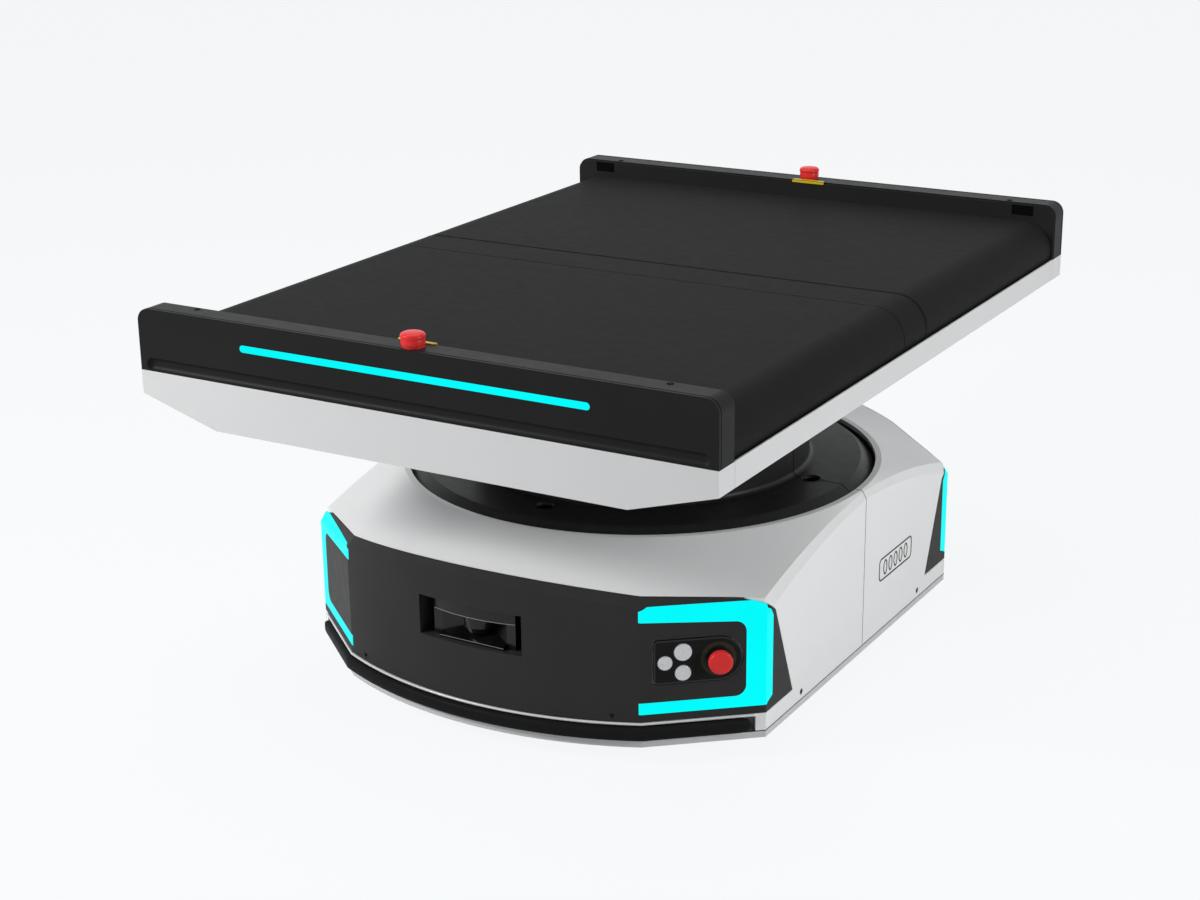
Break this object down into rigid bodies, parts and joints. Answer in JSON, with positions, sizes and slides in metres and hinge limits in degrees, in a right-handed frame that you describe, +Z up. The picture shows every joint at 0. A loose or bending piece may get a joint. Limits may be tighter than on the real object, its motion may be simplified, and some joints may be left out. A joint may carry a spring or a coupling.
{
  "type": "conveyor-top autonomous mobile robot",
  "caption": "Round-nosed wheeled robot base with a turning column that carries a flat belt conveyor deck between end guards.",
  "frame": {"origin": "on the floor under the turntable's axis", "axes": "+Z up, -Y towards the nose with the laser scanner's window, +X towards the side next to the control plate"},
  "size_m": [0.8, 1.09, 0.555],
  "materials": {
    "plinth_paint": "light grey powder coat",
    "frame_paint": "dark powder coat",
    "battery_case": "black anodised case",
    "controller_case": "grey moulded case",
    "steel": "ground steel",
    "motor_paint": "black paint",
    "column_metal": "cast, machined flanges",
    "cover_plastic": "satin black",
    "tray_paint": "satin light grey powder coat",
    "deck_aluminium": "mill finish",
    "roller_metal": "turned shell",
    "belt_rubber": "satin dark grey",
    "strip_plastic": "satin dark grey",
    "guard_plastic": "satin black",
    "liner_paint": "satin black powder coat",
    "light_bar_lens": "lit cyan light guide",
    "sensor_plastic": "yellow sensor body",
    "stop_red": "glossy red",
    "switch_plastic": "black moulding",
    "arm_metal": "machined plate",
    "drive_tyre": "tread moulded on its hub",
    "buffer_rubber": "black rubber",
    "shell_plastic": "satin light grey",
    "fascia_plastic": "fine textured dark grey",
    "corner_light_lens": "lit cyan light guide",
    "bumper_rubber": "soft black rubber",
    "plate_plastic": "dark grey",
    "button_silver": "silver white",
    "scanner_plastic": "black housing and optics cover",
    "screw_steel": "zinc plated",
    "castor_steel": "zinc plated pressing",
    "castor_tread": "dark tread"
  },
  "bodies": {
    "base": {"chassis_frame": "plinth_paint", "turntable_frame": "frame_paint", "battery_pack": "battery_case", "controller_box": "controller_case", "slewing_ring_outer": "steel", "turntable_motor": "motor_paint", "suspension_buffer_left": "buffer_rubber", "suspension_buffer_right": "buffer_rubber", "shell_front": "shell_plastic", "shell_rear": "shell_plastic", "fascia_front": "fascia_plastic", "fascia_rear": "fascia_plastic", "corner_lights": "corner_light_lens", "control_plate": "plate_plastic", "base_stop_block": "switch_plastic", "laser_scanner": "scanner_plastic", "cover_screws": "screw_steel"},
    "turntable": {"slewing_ring_inner": "steel", "column": "column_metal", "column_cover_front": "cover_plastic", "column_cover_rear": "cover_plastic", "tray_sides": "tray_paint", "tray_ends": "tray_paint", "deck_frame": "deck_aluminium", "belt_front": "belt_rubber", "belt_rear": "belt_rubber", "centre_strip": "strip_plastic", "guard_front": "guard_plastic", "guard_rear": "guard_plastic", "guard_liners": "liner_paint", "light_bars": "light_bar_lens", "item_sensors": "sensor_plastic", "deck_stop_blocks": "switch_plastic"},
    "pinion": {"turntable_pinion": "steel"},
    "bumper_front": {"bumper_front": "bumper_rubber"},
    "bumper_rear": {"bumper_rear": "bumper_rubber"},
    "base_stop": {"base_stop_head": "stop_red"},
    "start_button": {"start_button": "button_silver"},
    "power_button": {"power_button": "button_silver"},
    "reset_button": {"reset_button": "button_silver"},
    "deck_stop_front": {"deck_stop_head_front": "stop_red"},
    "deck_stop_rear": {"deck_stop_head_rear": "stop_red"},
    "drum_front": {"drum_roller_front": "roller_metal"},
    "idler_front": {"idler_roller_front": "roller_metal"},
    "drum_rear": {"drum_roller_rear": "roller_metal"},
    "idler_rear": {"idler_roller_rear": "roller_metal"},
    "suspension_left": {"suspension_arm_left": "arm_metal", "gearmotor_left": "motor_paint"},
    "suspension_right": {"suspension_arm_right": "arm_metal", "gearmotor_right": "motor_paint"},
    "drive_wheel_left": {"drive_wheel_left": "drive_tyre"},
    "drive_wheel_right": {"drive_wheel_right": "drive_tyre"},
    "castor_front_right": {"castor_fork_front_right": "castor_steel"},
    "castor_wheel_front_right": {"castor_wheel_front_right": "castor_tread"},
    "castor_front_left": {"castor_fork_front_left": "castor_steel"},
    "castor_wheel_front_left": {"castor_wheel_front_left": "castor_tread"},
    "castor_rear_right": {"castor_fork_rear_right": "castor_steel"},
    "castor_wheel_rear_right": {"castor_wheel_rear_right": "castor_tread"},
    "castor_rear_left": {"castor_fork_rear_left": "castor_steel"},
    "castor_wheel_rear_left": {"castor_wheel_rear_left": "castor_tread"}
  },
  "joints": [
    {"name": "turntable_spin", "type": "hinge", "parent": "base", "child": "turntable", "pos_m": [0, 0, 0.236], "axis": [0, 0, 1], "continuous": true},
    {"name": "pinion_spin", "type": "hinge", "parent": "base", "child": "pinion", "pos_m": [0, 0.102, 0.236], "axis": [0, 0, 1], "continuous": true},
    {"name": "front_bumper_push", "type": "slide", "parent": "base", "child": "bumper_front", "axis": [0, 1, 0], "range_m": [0, 0.005], "stiffness_N_per_m": 3000, "springref_m": -0.003},
    {"name": "rear_bumper_push", "type": "slide", "parent": "base", "child": "bumper_rear", "axis": [0, -1, 0], "range_m": [0, 0.005], "stiffness_N_per_m": 3000, "springref_m": -0.003},
    {"name": "base_stop_press", "type": "slide", "parent": "base", "child": "base_stop", "axis": [-0.6407, 0.7678, 0], "range_m": [0, 0.003], "stiffness_N_per_m": 2500, "springref_m": -0.002},
    {"name": "start_press", "type": "slide", "parent": "base", "child": "start_button", "axis": [-0.6407, 0.7678, 0], "range_m": [0, 0.0015], "stiffness_N_per_m": 1000, "springref_m": -0.001},
    {"name": "power_press", "type": "slide", "parent": "base", "child": "power_button", "axis": [-0.6407, 0.7678, 0], "range_m": [0, 0.0015], "stiffness_N_per_m": 1000, "springref_m": -0.001},
    {"name": "reset_press", "type": "slide", "parent": "base", "child": "reset_button", "axis": [-0.6407, 0.7678, 0], "range_m": [0, 0.0015], "stiffness_N_per_m": 1000, "springref_m": -0.001},
    {"name": "front_deck_stop_press", "type": "slide", "parent": "turntable", "child": "deck_stop_front", "axis": [0, 0, -1], "range_m": [0, 0.003], "stiffness_N_per_m": 2500, "springref_m": -0.002},
    {"name": "front_drum_spin", "type": "hinge", "parent": "turntable", "child": "drum_front", "pos_m": [0.354, -0.25, 0.47], "axis": [0, 1, 0], "continuous": true},
    {"name": "front_idler_spin", "type": "hinge", "parent": "turntable", "child": "idler_front", "pos_m": [-0.354, -0.25, 0.47], "axis": [0, 1, 0], "continuous": true},
    {"name": "rear_deck_stop_press", "type": "slide", "parent": "turntable", "child": "deck_stop_rear", "axis": [0, 0, -1], "range_m": [0, 0.003], "stiffness_N_per_m": 2500, "springref_m": -0.002},
    {"name": "rear_drum_spin", "type": "hinge", "parent": "turntable", "child": "drum_rear", "pos_m": [0.354, 0.25, 0.47], "axis": [0, 1, 0], "continuous": true},
    {"name": "rear_idler_spin", "type": "hinge", "parent": "turntable", "child": "idler_rear", "pos_m": [-0.354, 0.25, 0.47], "axis": [0, 1, 0], "continuous": true},
    {"name": "left_suspension", "type": "hinge", "parent": "base", "child": "suspension_left", "pos_m": [-0.219, 0.11, 0.08], "axis": [1, 0, 0], "range_deg": [-2.5, 2.5], "stiffness_Nm_per_rad": 700, "springref_deg": 2.01, "deforming": ["suspension_buffer_left"]},
    {"name": "left_drive_spin", "type": "hinge", "parent": "suspension_left", "child": "drive_wheel_left", "pos_m": [-0.25, 0, 0.08], "axis": [1, 0, 0], "continuous": true},
    {"name": "right_suspension", "type": "hinge", "parent": "base", "child": "suspension_right", "pos_m": [0.219, 0.11, 0.08], "axis": [1, 0, 0], "range_deg": [-2.5, 2.5], "stiffness_Nm_per_rad": 700, "springref_deg": 2.01, "deforming": ["suspension_buffer_right"]},
    {"name": "right_drive_spin", "type": "hinge", "parent": "suspension_right", "child": "drive_wheel_right", "pos_m": [0.25, 0, 0.08], "axis": [1, 0, 0], "continuous": true},
    {"name": "front_right_castor_swivel", "type": "hinge", "parent": "base", "child": "castor_front_right", "pos_m": [0.2, -0.275, 0.1], "axis": [0, 0, 1], "continuous": true},
    {"name": "front_right_castor_roll", "type": "hinge", "parent": "castor_front_right", "child": "castor_wheel_front_right", "pos_m": [0.2, -0.245, 0.0375], "axis": [1, 0, 0], "continuous": true},
    {"name": "front_left_castor_swivel", "type": "hinge", "parent": "base", "child": "castor_front_left", "pos_m": [-0.2, -0.275, 0.1], "axis": [0, 0, 1], "continuous": true},
    {"name": "front_left_castor_roll", "type": "hinge", "parent": "castor_front_left", "child": "castor_wheel_front_left", "pos_m": [-0.2, -0.245, 0.0375], "axis": [1, 0, 0], "continuous": true},
    {"name": "rear_right_castor_swivel", "type": "hinge", "parent": "base", "child": "castor_rear_right", "pos_m": [0.2, 0.275, 0.1], "axis": [0, 0, 1], "continuous": true},
    {"name": "rear_right_castor_roll", "type": "hinge", "parent": "castor_rear_right", "child": "castor_wheel_rear_right", "pos_m": [0.2, 0.305, 0.0375], "axis": [1, 0, 0], "continuous": true},
    {"name": "rear_left_castor_swivel", "type": "hinge", "parent": "base", "child": "castor_rear_left", "pos_m": [-0.2, 0.275, 0.1], "axis": [0, 0, 1], "continuous": true},
    {"name": "rear_left_castor_roll", "type": "hinge", "parent": "castor_rear_left", "child": "castor_wheel_rear_left", "pos_m": [-0.2, 0.305, 0.0375], "axis": [1, 0, 0], "continuous": true}
  ],
  "couplings": [
    {"joint": "pinion_spin", "follows": "turntable_spin", "ratio": 4},
    {"joint": "front_idler_spin", "follows": "front_drum_spin", "ratio": 1},
    {"joint": "rear_idler_spin", "follows": "rear_drum_spin", "ratio": 1}
  ]
}
